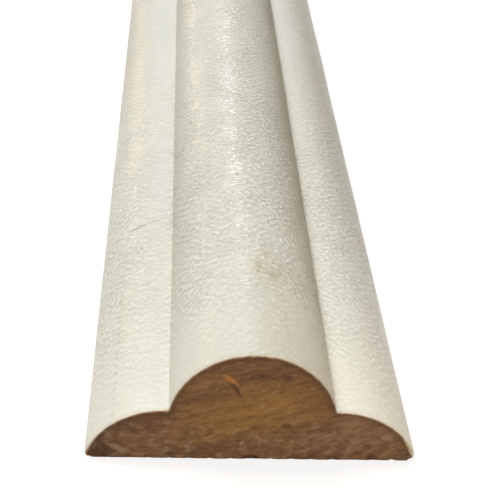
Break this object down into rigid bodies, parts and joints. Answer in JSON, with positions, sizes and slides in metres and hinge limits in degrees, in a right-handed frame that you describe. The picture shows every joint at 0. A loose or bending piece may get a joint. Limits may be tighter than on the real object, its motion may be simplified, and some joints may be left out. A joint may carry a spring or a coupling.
{
  "type": "panel moulding",
  "caption": "Straight length of primed wooden panel moulding: a raised bead between two rounded wings, fixed by its flat back to a wall, door or panel.",
  "frame": {"origin": "middle of the flat back, at half the width and half the length", "axes": "+X across the width, +Y along the length away from the end that the picture shows, +Z from the flat back to the crown of the bead"},
  "size_m": [0.032, 2.4, 0.012],
  "materials": {
    "primed_wood": "satin off-white primer over wood on the face and edges, with fine ripples across the length; bare brown sawn wood on both ends and bare planed wood on the back"
  },
  "bodies": {
    "root": {"moulding_strip": "primed_wood"}
  },
  "joints": []
}
